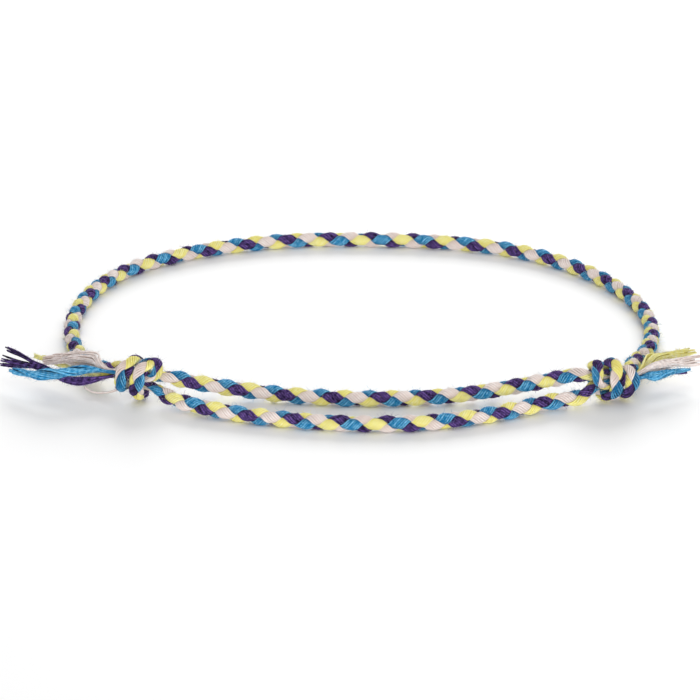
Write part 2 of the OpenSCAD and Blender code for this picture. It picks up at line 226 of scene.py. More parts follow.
# %% [markdown]
# ## Directions round the cord
# To lay strands round the line, each place on it needs two directions across it. They could come from
# the line's bends, but those flip where it is straight. Carrying one direction along and squaring it
# up at every step never flips and adds no twist. A third direction points out of the nearer knot, and
# the turns of a coil are pressed flat along it.

# %% Stations along the cord
STATION = 0.3


def rows_at(wanted, known, table):
    """A table's rows at the wanted lengths, where known gives the length of each row."""
    return np.stack([np.interp(wanted, known, column) for column in table.T], axis=-1)


station_count = round(cord_length/STATION)
station_at = np.linspace(0, cord_length, station_count + 1)
station_row = rows_at(station_at, run, line)
places, sizes, presses = station_row[:, :3], station_row[:, 3], station_row[:, 4]
print(f"{station_count} stations, {cord_length/station_count:.3f} mm apart")

# %% Three directions at each station
ahead = np.minimum(np.arange(station_count + 1) + 1, station_count)
behind = np.maximum(np.arange(station_count + 1) - 1, 0)
tangents = unit(places[ahead] - places[behind])
sides = np.zeros_like(places)
sides[0] = unit(np.cross(tangents[0], [0, 1, 0]))
for i in range(1, station_count + 1):
    carried = sides[i - 1]
    sides[i] = unit(carried - carried.dot(tangents[i])*tangents[i])
others = np.cross(tangents, sides)
outs = np.zeros_like(places)
for knot, here in ((left_knot, places[:, 0] < 0), (right_knot, places[:, 0] >= 0)):
    apart = places[here] - knot["middle"]
    outs[here] = unit(apart - apart.dot(knot["tailward"])[:, None]*knot["tailward"])


def at(table, travel):
    """The rows of a table of the stations, at lengths of travel along the cord."""
    return rows_at(travel, station_at, table)


print("largest slip off square:", abs(np.sum(sides*tangents, axis=1)).max().round(9))

# %% [markdown]
# ## The braid
# In a round braid of four strands, two wind one way and two the other, and each passes over one
# neighbour and under the next. Seen from the cord's middle that is simple: a strand's angle grows
# evenly, and its distance from the middle swings out and in twice a turn, the two hands in opposite
# step. The braider's hand shows in the drift table. A row of it holds a share of the cord's length,
# the turns that the braid has gained there, and the degrees by which its columns have rolled round
# the cord.

# %% The drift of the braid
DRIFT = [
    [0, -0.50, -180], [0.036, -0.50, -180], [0.052, -0.62, -265], [0.068, -0.62, -255],
    [0.078, -0.47, -191], [0.094, -0.45, -75], [0.100, -0.45, -75], [0.108, -0.60, -120],
    [0.130, -0.76, -221], [0.180, -0.72, -330], [0.257, -0.67, -496], [0.328, -1.23, -504],
    [0.350, -0.68, -504], [0.363, -0.58, -523], [0.428, -0.56, -607], [0.448, -0.56, -618],
    [0.528, -0.66, -762], [0.595, -0.64, -893], [0.619, -0.36, -932], [0.674, -0.17, -1042],
    [0.738, -0.29, -976], [0.768, -0.34, -990], [0.800, -0.39, -1025], [0.846, -0.31, -1060],
    [0.861, -0.21, -1065], [0.884, -0.45, -1073], [0.898, -0.45, -1073], [0.914, -0.90, -1080],
    [0.932, -0.90, -1080], [0.944, -0.82, -1040], [0.950, -0.75, -1040], [0.960, -0.75, -1080],
    [0.973, -0.785, -1110], [1, -0.785, -1110]]
drift_share, drift_turns, drift_degrees = np.array(DRIFT).T


def gained(travel):
    return np.interp(travel, drift_share*cord_length, drift_turns)


def rolled(travel):
    return np.interp(travel, drift_share*cord_length, drift_degrees)


print(f"over its length the braid gains {drift_turns[-1]} turns and rolls {drift_degrees[-1]} degrees")

# %% The four strands: the way each winds, and its angle at the start
STRANDS = {"purple": (1, 0), "cream": (1, 180), "turquoise": (-1, 180), "yellow": (-1, 0)}
over_r = CORD_D/2 - STRAND_T/2
mid_r = (over_r + DIVE_R)/2
swing_r = (over_r - DIVE_R)/2
slope = math.atan(2*math.pi*over_r/BRAID_PITCH)


def braid_point(travel, colour, across, height):
    """Points of a strand at lengths of travel, a distance across the strand and a height on it."""
    hand, start = STRANDS[colour]
    there = travel + across*math.sin(slope)
    shift = across/math.sin(slope)/BRAID_PITCH
    turns = there/BRAID_PITCH + gained(there)
    angle = np.radians(hand*360*(turns - shift) + start + rolled(there))[..., None]
    radius = mid_r + hand*swing_r*np.cos(4*math.pi*(turns - shift/2)) + height
    off = (radius*np.interp(there, station_at, sizes))[..., None]*(
        np.cos(angle)*at(sides, there) + np.sin(angle)*at(others, there))
    out = at(outs, there)
    press = np.interp(there, station_at, presses)[..., None]
    return at(places, there) + off - (1 - press)*np.sum(off*out, axis=-1, keepdims=True)*out


print(f"strands lie {DIVE_R:.2f} to {over_r:.2f} mm from the middle and cross it at "
      f"{math.degrees(slope):.0f} degrees")

# %% [markdown]
# ## The tails
# Past a knot nothing holds the braid, and each strand falls loose as a lock of threads. A lock could
# be left to a simulation, but then its bends wouldn't be the photograph's. So each has its own short
# line, read from the photograph, and a strand goes over from the braid to its lock along a few
# millimetres.

# %% Lines of the left and right locks of each strand, from the knot to the tip
LOCKS = {
    "purple": (
        [[-29.7, -25.7, 2.5], [-31.6, -25.6, 2.4], [-33.7, -24.9, 2.3], [-35.5, -24.2, 2.3],
         [-36.8, -23.1, 2.5], [-38.1, -22, 2.8], [-39.7, -21.1, 3.1], [-41.8, -20, 3.3],
         [-43.9, -18.6, 3.4]],
        [[35.9, -22.4, 2.1], [37.7, -20.8, 1.8], [39.3, -20.1, 1.7], [40.8, -20.4, 1.8],
         [42.4, -21, 2]]),
    "cream": (
        [[-29.7, -23.5, 3.9], [-31.4, -22, 3.9], [-33.3, -20.8, 3.8], [-35.2, -19.9, 3.6],
         [-37.1, -19.7, 3.3], [-38.8, -19.6, 3]],
        [[35.5, -24.8, 3.7], [37.4, -23.6, 3.7], [39.4, -22.3, 3.6], [41.4, -21.1, 3.4],
         [44.4, -20, 3.3]]),
    "turquoise": (
        [[-29.8, -24.1, 3.6], [-31.7, -24.1, 3.8], [-33.7, -24.5, 3.8], [-35.5, -25.1, 3.6],
         [-37.4, -25.1, 3.4], [-39.3, -24.4, 3.1], [-41, -23.2, 2.9], [-42.6, -22.3, 2.8]],
        [[35.7, -25.2, 2.7], [37.4, -25, 2.9], [39, -23.9, 2.9], [40.7, -22.7, 2.9],
         [42.7, -22.1, 2.9]]),
    "yellow": (
        [[-30, -23.7, 2.9], [-31.9, -23.2, 2.6], [-33.9, -21.7, 2.4], [-35.9, -19.8, 2.4],
         [-37.9, -18.2, 2.5], [-40, -17.1, 2.8]],
        [[35.5, -21.9, 3.1], [37.2, -20, 3.1], [39.2, -18.5, 3.1], [41.1, -17.6, 3.1],
         [43.8, -16.1, 3]]),
}
print("points of the locks:", {colour: [len(lock) for lock in LOCKS[colour]] for colour in LOCKS})

# %% From the braid into the locks
TAIL_OPEN = 4.0
LOCK_STEPS = 6


def held_and_past(travel):
    """The nearest length at which the knots hold the braid, and how far past it a length lies."""
    held = np.clip(travel, left_exit, right_exit)
    return held, np.abs(travel - held)


def lock_line(colour, travel):
    """The middle of a strand's loose lock, beside lengths of travel."""
    held, past = held_and_past(travel)
    out = np.zeros(np.shape(travel) + (3,))
    for lock, reach, here in zip(LOCKS[colour], tail_lengths, (travel < held, travel >= held)):
        fine = spline(lock, LOCK_STEPS)
        place = np.clip(past/reach, 0, 1)*(len(fine) - 1)
        out = np.where(here[..., None], rows_at(place, np.arange(len(fine)), fine), out)
    return out


def strand_line(colour, travel, across=0.0, height=0.0, lock_offset=0.0):
    """The middle of a strand, or of one of its threads, in the braid, the knots and the loose locks."""
    held, past = held_and_past(travel)
    held_point = braid_point(held, colour, across, height)
    straight_on = held_point + at(places, travel) - at(places, held)
    share = smooth(past/TAIL_OPEN)[..., None]
    loose_point = straight_on*(1 - share) + (lock_line(colour, travel) + lock_offset)*share
    return np.where(past[..., None] > 0, loose_point, held_point)


tip = strand_line("purple", np.array([0.0]))[0]
print("the purple strand's left tip on the working drawing:", tip.round(1))

# %% [markdown]
# ## Where the solids stand
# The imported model's origin is below the middle of its box. To find the same origin here, the outer
# corners of the solid strands are worked out once more from the same numbers.

# %% Where the solids have their rings
RINGS_PER_TURN = 6.7
KNOT_FINENESS = 1.25
KNOT_REACH = 2.2
next_at = station_at + STATION
turned_here = (STATION/BRAID_PITCH + gained(next_at) - gained(station_at)
               + np.abs(rolled(next_at) - rolled(station_at))/360)
to_knot = np.minimum(np.linalg.norm(places - left_knot["middle"], axis=1),
                     np.linalg.norm(places - right_knot["middle"], axis=1))
finer = np.where(to_knot < KNOT_REACH*CORD_D, KNOT_FINENESS, 1)
turned_on = np.concatenate([[0], np.cumsum((turned_here*finer)[:-1])])
ring_count = int(turned_on[-1]*RINGS_PER_TURN + 0.5)
ring_at = np.interp(turned_on[-1]*np.arange(ring_count + 1)/ring_count, turned_on, station_at)
print(f"{ring_count + 1} rings on each strand")

# %% The corners of the solids
SECTION = [(-1, 0), (0, 1), (1, 0), (0, -1)]
LOCK_W = 1.3
LOCK_T = 0.45
LOCK_LEAN = np.array([0, 0.7, 0.7])


def section_point(travel, colour, wide, thick):
    return braid_point(travel, colour, wide*STRAND_W/2, thick*STRAND_T/2)


def lock_frame(colour, travel):
    """Directions across and up through a strand's lock, and its half width and half thickness."""
    held, past = held_and_past(travel)
    left, top, right, bottom = (section_point(held, colour, *corner) for corner in SECTION)
    step = unit(strand_line(colour, np.minimum(travel + STATION, cord_length))
                - strand_line(colour, np.maximum(travel - STATION, 0)))
    wide = right - left
    grown = smooth(past/TAIL_OPEN)
    lean = LOCK_LEAN*np.where(np.sum(wide*LOCK_LEAN, axis=-1, keepdims=True) < 0, -1, 1)
    turned = unit(wide)*(1 - grown[..., None]) + lean*grown[..., None]
    across = unit(turned - np.sum(turned*step, axis=-1, keepdims=True)*step)
    up = STRANDS[colour][0]*np.cross(step, across)
    width = np.linalg.norm(wide, axis=-1)*(1 - grown) + LOCK_W*grown
    thickness = np.linalg.norm(top - bottom, axis=-1)*(1 - grown) + LOCK_T*grown
    return across, up, width/2, thickness/2


def solid_rings(colour):
    _, past = held_and_past(ring_at)
    across, up, half_width, half_thickness = lock_frame(colour, ring_at)
    middle = strand_line(colour, ring_at)
    rings = []
    for wide, thick in SECTION:
        loose = middle + (wide*half_width)[:, None]*across + (thick*half_thickness)[:, None]*up
        rings.append(np.where(past[:, None] > 0, loose, section_point(ring_at, colour, wide, thick)))
    return np.stack(rings, axis=1)


corners = np.concatenate([solid_rings(colour).reshape(-1, 3) for colour in STRANDS])
low, high = corners.min(0), corners.max(0)
ORIGIN = np.array([(low[0] + high[0])/2, (low[1] + high[1])/2, low[2]])
print("the model's origin on the working drawing, in mm:", ORIGIN.round(3))

# %% How well they agree
tree = KDTree(len(corners))
for i, corner in enumerate((corners - ORIGIN)*MM):
    tree.insert(corner, i)
tree.balance()
gap = max(tree.find(vertex.co)[2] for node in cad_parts.values() for vertex in node.data.vertices)
print(f"the worst corner of the solids is {gap/MM:.3f} mm from its place here")

# %% [markdown]
# ## Threads
# Floss is not spun into one string: a strand is a flat band of fine threads side by side, and in the
# photo they show as slanting lines across each colour. They could be scratched in with a bump map,
# but the edge of every strand would then be straight. Each thread is a tube here, a little uneven in
# its place and thickness, because a braider's floss never lies perfectly flat. Random numbers come
# from a fixed seed, so that the threads lie the same way every time.

# %% Unevenness: how far each thing wanders, in mm or as a share, and the length of its waves in mm
WANDERS = {
    "across": (0.018, 7), "height": (0.032, 4), "hidden": (0.2, 6),
    "aside": (0.09, 9), "above": (0.09, 8), "thickness": (0.08, 5), "tone": (0.22, 9)}
WAVES = 3
FIRST_WAVE = 0.6
WAVE_GROWS = 0.55
WAVE_STRETCH = (0.85, 1.15)
WAVE_WEIGHT = (0.5, 1)
# Three waves of middling weight reach about this high together.
WAVES_REACH = 2.2
SEED = 7
dice = np.random.default_rng(SEED)


def wander(kind, travel):
    """A slow, smooth unevenness along the cord, different at every call."""
    amount, wave = WANDERS[kind]
    out = np.zeros_like(travel)
    for part in range(WAVES):
        length = wave*(FIRST_WAVE + WAVE_GROWS*part)*dice.uniform(*WAVE_STRETCH)
        swing = np.sin(2*math.pi*travel/length + dice.uniform(0, 2*math.pi))
        out += swing*dice.uniform(*WAVE_WEIGHT)
    return amount*out/WAVES_REACH


print("things that wander:", ", ".join(WANDERS))

# %% How a strand's threads lie side by side
THREADS = 7
THREAD_GAP = 0.252
THREAD_R = 0.145
CROWN = 0.14
SINK = 0.06


def place_in_strand(index, travel):
    """How far a thread lies across its strand, and how high on it."""
    middle = (THREADS - 1)/2
    edge = (index - middle)/middle
    across = edge*middle*THREAD_GAP + wander("across", travel)
    return across, CROWN*(1 - edge*edge) - SINK + wander("height", travel)


strand_width = (THREADS - 1)*THREAD_GAP + 2*THREAD_R
print(f"{THREADS} threads side by side make a strand {strand_width:.2f} mm wide")

# %% [markdown]
# ## Threads of the tails
# In the braid only a strand's outer threads show. Where a tail comes loose, the hidden ones come out
# too, so each lock gets fifteen more threads, which start inside the knot. A lock has widths of its
# own from the knot to the tip, and some of them keep a twist: the turquoise lock on the left is still
# laid like a rope. Near their tips other locks part into fingers.

# %% Each lock's widths from the knot to its tip, its turns of twist, its flatness and its fingers
LOCK_SHAPES = {
    "purple": (
        ([1.1, 1.3, 1.3, 1.1, 1.1, 1.4, 1.9, 2.6, 3.5], 0.3, 0.7, 5),
        ([1.0, 0.9, 0.8, 0.7, 0.6], 0.3, 0.8, 1)),
    "cream": (
        ([1.9, 2.5, 2.3, 2.0, 1.7, 1.4], 0.1, 0.6, 3),
        ([1.1, 1.3, 1.5, 1.6, 1.8], 0.2, 0.6, 3)),
    "turquoise": (
        ([1.0, 1.1, 1.3, 1.6, 1.5, 1.3, 1.1, 0.9], 1.5, 1.0, 1),
        ([2.3, 2.4, 1.4, 0.7, 0.35], 0.4, 0.7, 1)),
    "yellow": (
        ([1.0, 1.0, 0.9, 0.8, 0.8, 0.9], 0.3, 0.6, 2),
        ([2.0, 2.2, 1.8, 1.4, 1.1], 0.3, 0.6, 3)),
}
for colour, (left, right) in LOCK_SHAPES.items():
    print(f"{colour} locks: {left[0][-1]} mm wide at the left tip, {right[0][-1]} mm at the right")

# %% How the threads lie in a lock
TAIL_THREADS = 22
# Steps of 5 through 22 reach every distance out once, and threads next in number lie far apart.
INDEX_STEP = 5
# Nearly the golden angle in radians, which spreads the threads evenly round a lock.
THREAD_TURN = 2.4
STRAY_AT_KNOT = 0.25
STRAY_GROWS_IN = 8
PARTED_FROM = 0.5
PARTED_IN = 0.4
PARTED_CALM = 0.5
FINGER_R = 0.15


def place_in_lock(colour, index, travel):
    """A thread's shift from the middle of its loose lock, and how far out it lies, from 0 to 1."""
    held, past = held_and_past(travel)
    side, up, _, _ = lock_frame(colour, travel)
    far = math.sqrt((index*INDEX_STEP % TAIL_THREADS + 0.5)/TAIL_THREADS)
    stray = STRAY_AT_KNOT + np.minimum(past/STRAY_GROWS_IN, 1)
    aside = wander("aside", travel)*stray
    above = wander("above", travel)*stray
    start = THREAD_TURN*index
    shift = np.zeros(travel.shape + (3,))
    for shape, reach, here in zip(LOCK_SHAPES[colour], tail_lengths, (travel < held, travel > held)):
        widths, turns, flat, fingers = shape
        share = np.clip(past/reach, 0, 1)
        half = np.interp(share, np.linspace(0, 1, len(widths)), widths)/2 - THREAD_R
        turn = start + 2*math.pi*turns*share
        finger = (index % fingers + 0.5)/fingers*2 - 1
        parted = smooth((share - PARTED_FROM)/PARTED_IN)*(fingers > 1)
        to_side = far*half*np.cos(turn)*(1 - parted) + (half*finger + FINGER_R*math.cos(start))*parted
        to_up = flat*far*half*np.sin(turn)*(1 - parted) + FINGER_R*math.sin(start)*parted
        calm = 1 - PARTED_CALM*parted
        both = (to_side + aside*calm)[:, None]*side + (to_up + above*calm)[:, None]*up
        shift = np.where(here[:, None], both, shift)
    return shift, far


print(f"{TAIL_THREADS} threads in each lock, of which {TAIL_THREADS - THREADS} start inside the knot")

# %% [markdown]
# ## Tubes
# Blender's curves can be given a bevel, which makes such tubes in one line. Meshes written straight
# from arrays are chosen here: they carry a texture map along each thread and a few values at each
# point, which the cotton's material reads.

# %% Directions across the lines of tubes
STEEP = 0.9


def carried_frames(lines):
    """Two directions across each line, carried along it without twist. lines is (line, point, 3)."""
    step = unit(np.gradient(lines, axis=1))
    side = np.zeros_like(lines)
    steep = np.abs(step[:, :1, 2:]) >= STEEP
    seed = np.where(steep, [[[1.0, 0, 0]]], [[[0, 0, 1.0]]])[:, 0]
    side[:, 0] = unit(np.cross(step[:, 0], seed))
    for i in range(1, lines.shape[1]):
        carried = side[:, i - 1]
        side[:, i] = unit(carried - np.sum(carried*step[:, i], axis=1, keepdims=True)*step[:, i])
    return side, np.cross(step, side)


two_lines = np.array([[[0, 0, 0], [1.0, 0, 0], [2.0, 1, 0]], [[0, 0, 0], [0, 0, 1.0], [0, 1, 2.0]]])
print("sides of a level and a steep line:", carried_frames(two_lines)[0][:, 0].round(2).tolist())

# %% The arrays of a bundle of tubes
# How much of the painted groove shade is lifted from loose threads.
LOOSE_PAINTED_SHADE_LIFT = 0.5


def tube_faces(count, points, corners_round, base):
    """The quads and the end caps of tubes whose corners are numbered from base."""
    corner = np.arange(corners_round)
    after = (corner + 1) % corners_round
    place = np.arange(count)[:, None, None]*points + np.arange(points - 1)[:, None]
    first = base + place*corners_round
    beyond = first + corners_round
    quads = np.stack([first + corner, first + after, beyond + after, beyond + corner], -1)
    starts = base + np.arange(count)*points*corners_round
    caps = [(start + corner[::-1]).tolist() for start in starts]
    caps += [(start + (points - 1)*corners_round + corner).tolist() for start in starts]
    return quads.reshape(-1, 4), caps


def tube_map(lengths, corners_round):
    """The texture map of the quads: mm along the thread, and the share of the way round it."""
    along = np.repeat(lengths[:, :, None], corners_round, axis=2)
    u, u_next = along[:, :-1], along[:, 1:]
    v = np.arange(corners_round)/corners_round + 0*u
    v_next = (np.arange(corners_round) + 1)/corners_round + 0*u
    return np.stack([u, v, u, v_next, u_next, v_next, u_next, v], -1).ravel()


def tube_skin(lines, radii, outward, marks, corners_round):
    """The tubes' corners in metres, and at each its tone, depth, facing and looseness."""
    side, other = carried_frames(lines)
    turn = 2*math.pi*np.arange(corners_round)/corners_round
    ring = np.cos(turn)[:, None]*side[:, :, None] + np.sin(turn)[:, None]*other[:, :, None]
    facing = 0.5 + 0.5*np.sum(ring*outward[:, :, None], axis=-1)
    values = np.empty(ring.shape[:3] + (4,))
    values[..., [0, 1, 3]] = marks[:, :, None]
    # Facing sets painted shade: the material paints the groove shade where the skin faces into its
    # strand. On loose threads most of that painted shade is lifted, since real shadow falls between
    # them.
    values[..., 2] = facing + (1 - facing)*LOOSE_PAINTED_SHADE_LIFT*np.minimum(marks[:, :, None, 2], 1)
    skin = (lines[:, :, None] + radii[:, :, None, None]*ring - ORIGIN)*MM
    return skin.reshape(-1, 3), values.ravel()


print("a tube of 2 points and 3 sides:", tube_faces(1, 2, 3, 0)[0].tolist(), "and two caps")


# %% A piece made of tubes
def tubes(name, bundles, corners_round):
    """One mesh of tubes. A bundle is (lines, radii, lengths, ways out, marks)."""
    skins, quads, caps, maps, values = [], [], [], [], []
    base = 0
    for lines, radii, lengths, outward, marks in bundles:
        count, points = lines.shape[:2]
        bundle_quads, bundle_caps = tube_faces(count, points, corners_round, base)
        skin, bundle_values = tube_skin(lines, radii, outward, marks, corners_round)
        skins.append(skin)
        quads.append(bundle_quads)
        caps += bundle_caps
        maps.append(tube_map(lengths, corners_round))
        values.append(bundle_values)
        base += len(skin)
    maps.append(np.zeros(2*corners_round*len(caps)))
    mesh = bpy.data.meshes.new(name)
    mesh.from_pydata(np.vstack(skins).tolist(), [], np.vstack(quads).tolist() + caps)
    mesh.uv_layers.new(name="along").data.foreach_set("uv", np.concatenate(maps))
    colours = mesh.color_attributes.new("floss", "FLOAT_COLOR", "POINT")
    colours.data.foreach_set("color", np.concatenate(values))
    mesh.polygons.foreach_set("use_smooth", np.ones(len(mesh.polygons), bool))
    mesh.validate()
    piece = bpy.data.objects.new(name, mesh)
    bpy.context.scene.collection.objects.link(piece)
    triangles = sum(len(polygon.vertices) - 2 for polygon in mesh.polygons)
    print(f"{name}: {sum(len(bundle[0]) for bundle in bundles)} tubes, {triangles} triangles")
    return piece


# %% [markdown]
# ## The four strands
# Every thread ends where it was cut, a little sooner or later than its neighbours, and a few ends are
# much shorter. The tips could be one flat cut, which would look like a brush. Squaring a random
# number instead makes short ends rare. The marks kept for the material are the thread's own tone, how
# far out of the cord it lies, how loose it is, and at each point of its skin how far that faces out
# of the strand. Depth and facing decide where the material paints shade.

# %% Threads of a strand. FREE_ENDS: by how many mm an end may fall short at the left and the right
FREE_ENDS = {
    "purple": (1.1, 1.5), "cream": (3.5, 2.5), "turquoise": (3.0, 2.0), "yellow": (4.0, 3.0)}
THREAD_STEP = 0.24
HIDDEN_HEIGHT = -0.12
SQUEEZE_POWER = 0.75
LOOSE_THINNER = 0.18
TIP_SIZE = 0.75
TIP_TAPER = 0.8
TONE_SPREAD = 0.3
# Added to the way to an end that is hidden in a knot, which has no cut tip.
NO_TIP = 9
# A thread in the very middle of its lock has no way out of it, so a trifle is added before unit().
NOT_ZERO = 1e-6


def thread_line(colour, index, travel):
    """A thread's middle line, and how far out of its lock it lies."""
    if index < THREADS:
        across, height = place_in_strand(index, travel)
    else:
        across, height = wander("hidden", travel), HIDDEN_HEIGHT
    shift, far = place_in_lock(colour, index, travel)
    return strand_line(colour, travel, across, height, shift), far


def thread_radii(travel, loose, start, end):
    """A thread's thickness: less where the cord is squeezed, in a tail and at a cut tip."""
    size = np.interp(travel, station_at, sizes)
    to_tip = np.minimum(travel - travel[0] + NO_TIP*(start > 0),
                        travel[-1] - travel + NO_TIP*(end < cord_length))
    tapered = TIP_SIZE + (1 - TIP_SIZE)*smooth(to_tip/TIP_TAPER)
    return THREAD_R*size**SQUEEZE_POWER*(1 - LOOSE_THINNER*loose + wander("thickness", travel))*tapered


def laid_threads(colour, indexes, start, end):
    """A bundle of the strand's threads between two lengths of the cord."""
    points = int((end - start)/THREAD_STEP)
    bundle = [[], [], [], [], []]
    for index in indexes:
        cut = dice.uniform(0, 1, 2)**2*FREE_ENDS[colour]
        travel = np.linspace(start + cut[0]*(start == 0), end - cut[1]*(end == cord_length), points)
        loose = smooth(held_and_past(travel)[1]/TAIL_OPEN)
        middle, far = thread_line(colour, index, travel)
        radii = thread_radii(travel, loose, start, end)
        middle[:, 2] = np.maximum(middle[:, 2], ORIGIN[2] + radii)
        radial = middle - at(places, travel)
        from_lock = middle - strand_line(colour, travel)
        outward = unit(unit(radial)*(1 - loose[:, None]) + unit(from_lock + NOT_ZERO)*loose[:, None])
        cord_radii = CORD_D/2*np.interp(travel, station_at, sizes)
        # Depth: how far out of the cord a point lies, and in a lock how far out of the lock. The
        # material paints shade on deep points.
        depth = np.clip(np.linalg.norm(radial, axis=1)/cord_radii, 0, 1)
        depth = depth*(1 - loose) + (0.5 + 0.5*far)*loose
        tone = np.clip(0.5 + dice.uniform(-TONE_SPREAD, TONE_SPREAD) + wander("tone", travel), 0, 1)
        marks = np.stack([tone, depth, loose], axis=1)
        for kept, new in zip(bundle, (middle, radii, travel, outward, marks)):
            kept.append(new)
    return [np.array(kept) for kept in bundle]


print(f"{int(cord_length/THREAD_STEP)} points on a thread from tip to tip")

# %% A single loose thread of cream below the left knot
STRAYS = {
    "cream": [[-28.0, -25.6, 2.4], [-28.6, -25.7, 1.8], [-29.6, -24.9, 1.0], [-30.9, -24.4, 0.6],
              [-32.3, -24.0, 0.5], [-33.2, -23.3, 0.9]]}
STRAY_STEPS = 8
STRAY_LENGTH = 6
STRAY_SIZE = 0.9
STRAY_MARKS = [0.7, 0.9, 1.0]
UPWARD = [0, 0, 1.0]


def stray_thread(points):
    middle = spline(points, STRAY_STEPS)[None]
    travel = np.linspace(0, 1, middle.shape[1])[None]*STRAY_LENGTH
    radii = np.full_like(travel, THREAD_R*STRAY_SIZE)
    upward, marks = (np.broadcast_to(row, middle.shape) for row in (UPWARD, STRAY_MARKS))
    return [middle, radii, travel, upward, marks]


print("points of the loose threads:", {colour: len(points) for colour, points in STRAYS.items()})

# %% The strands
THREAD_SIDES = 6
HIDDEN = 2.5
pieces = {}
bundles_of = {}
for colour in STRANDS:
    bundles = [laid_threads(colour, range(THREADS), 0, cord_length),
               laid_threads(colour, range(THREADS, TAIL_THREADS), 0, left_exit + HIDDEN),
               laid_threads(colour, range(THREADS, TAIL_THREADS), right_exit - HIDDEN, cord_length)]
    if colour in STRAYS:
        bundles.append(stray_thread(STRAYS[colour]))
    bundles_of[colour] = bundles
    piece = tubes("floss_" + colour, bundles, THREAD_SIDES)
    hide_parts("strand_" + colour)
    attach(piece, "root")
    pieces[piece.name] = piece

# %% [markdown]
# ## Fuzz
# Cotton is spun from short hairs, and their ends stand out all along the thread as a faint haze. A
# haze could be faked with a see-through shell. Real hairs are better from close by: each is a tube of
# three sides, a thirtieth of a millimetre thick, rooted on a thread and curling away from it.

# %% Kinds of hair: how many, points on each, its shortest and longest, its rise and its shine, a painted sheen
HAIR_KINDS = [(2700, 4, (0.3, 0.8), 0.6, 0.3), (2600, 3, (0.25, 0.5), 0.4, 0.9)]
HAIR_SIDES = 3
HAIR_R = 0.015
HAIR_TAPER = 0.5
ROOTS_FROM = 0.7
ROOT_LIFT = 0.06
AWAY_SPREAD = 0.45
HAIR_LEAN = 0.75
HAIR_CURL = 0.4


def hair_roots(colour):
    """Places on a strand's threads, the ways along and away from the thread there, and the marks."""
    parts = [[], [], [], []]
    for lines, _, _, outward, marks in bundles_of[colour]:
        along = lines[:, 2:] - lines[:, :-2]
        for kept, new in zip(parts, (lines[:, 1:-1], along, outward[:, 1:-1], marks[:, 1:-1])):
            kept.append(new.reshape(-1, 3))
    return [np.vstack(part) for part in parts]


def hairs(colour, count, points, lengths_between, rise, shine):
    """A bundle of hairs rooted on a strand's threads."""
    root, along, away, marks = hair_roots(colour)
    chosen = dice.choice(np.flatnonzero(marks[:, 1] > ROOTS_FROM), count, replace=False)
    along = unit(along[chosen])*dice.choice([-1, 1], count)[:, None]
    away = unit(away[chosen] + AWAY_SPREAD*dice.normal(size=(count, 3)))
    bend = unit(dice.normal(size=(count, 3)))
    length = dice.uniform(*lengths_between, count)[:, None, None]
    t = np.linspace(0, 1, points)[None, :, None]
    path = (root[chosen] + ROOT_LIFT*away)[:, None] + length*(
        HAIR_LEAN*t*along[:, None] + rise*t*away[:, None] + HAIR_CURL*t*t*bend[:, None])
    path[..., 2] = np.maximum(path[..., 2], ORIGIN[2] + HAIR_R)
    radii = HAIR_R*np.broadcast_to(1 - HAIR_TAPER*t[..., 0], (count, points))
    hair_marks = np.repeat(marks[chosen][:, None], points, axis=1)
    # A hair lies fully out of the painted shade, and its shine paints it paler: a painted sheen.
    hair_marks[..., 1:] = 1, 1 + shine
    return path, radii, (length*t)[..., 0], np.broadcast_to(away[:, None], path.shape), hair_marks


for colour in STRANDS:
    piece = tubes("fuzz_" + colour, [hairs(colour, *kind) for kind in HAIR_KINDS], HAIR_SIDES)
    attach(piece, "root")
    pieces[piece.name] = piece

# %% [markdown]
# ## Writing a material as sums
# A material is a net of nodes, and sums on values are hard to read there. The class below wraps one
# output of a node, so that an ordinary Python sum adds the nodes for it.

# %% Values in a material
class Value:
    """A node's output. A sum on it adds a Math node."""
    def __init__(self, net, socket):
        self.net = net
        self.socket = socket

    def maths(self, operation, *values):
        return self.net.node("ShaderNodeMath", {"operation": operation}, dict(enumerate(values)))

    def __add__(self, other):
        return self.maths("ADD", self, other)

    def __radd__(self, other):
        return self.maths("ADD", other, self)

    def __sub__(self, other):
        return self.maths("SUBTRACT", self, other)

    def __rsub__(self, other):
        return self.maths("SUBTRACT", other, self)

    def __mul__(self, other):
        return self.maths("MULTIPLY", self, other)

    def __rmul__(self, other):
        return self.maths("MULTIPLY", other, self)

    def sin(self):
        return self.maths("SINE", self)

    def clamped(self):
        return self.net.node("ShaderNodeClamp", {}, {0: self})

    def beside(self, name):
        """Another output of the same node."""
        return Value(self.net, self.socket.node.outputs[name])


class Net:
    """A material's nodes. node() takes a type, its settings and the values or links of its inputs."""
    def __init__(self, name):
        self.material = bpy.data.materials.new(name)
        self.material.use_nodes = True
        self.tree = self.material.node_tree
        self.tree.nodes.clear()

    def node(self, kind, settings=(), inputs=(), output=0):
        made = self.tree.nodes.new(kind)
        for key, value in dict(settings).items():
            setattr(made, key, value)
        for key, value in dict(inputs).items():
            if isinstance(value, Value):
                self.tree.links.new(value.socket, made.inputs[key])
            else:
                made.inputs[key].default_value = value
        return Value(self, made.outputs[output] if made.outputs else None)

    def mix(self, share, first, second):
        """A colour between two. For colours, a Mix node uses inputs 6 and 7 and output 2."""
        return self.node("ShaderNodeMix", {"data_type": "RGBA", "clamp_factor": True},
                         {0: share, 6: first, 7: second}, 2)

    def finished(self, skin):
        self.node("ShaderNodeOutputMaterial", {}, {"Surface": skin})
        return self.material


def srgb(code):
    """The colour that a picture writes as code, as light."""
    parts = [int(code[i:i + 2], 16)/255 for i in (0, 2, 4)]
    return [part/12.92 if part <= 0.04045 else ((part + 0.055)/1.055)**2.4 for part in parts] + [1]


print("mid grey as light:", [round(part, 3) for part in srgb("808080")])
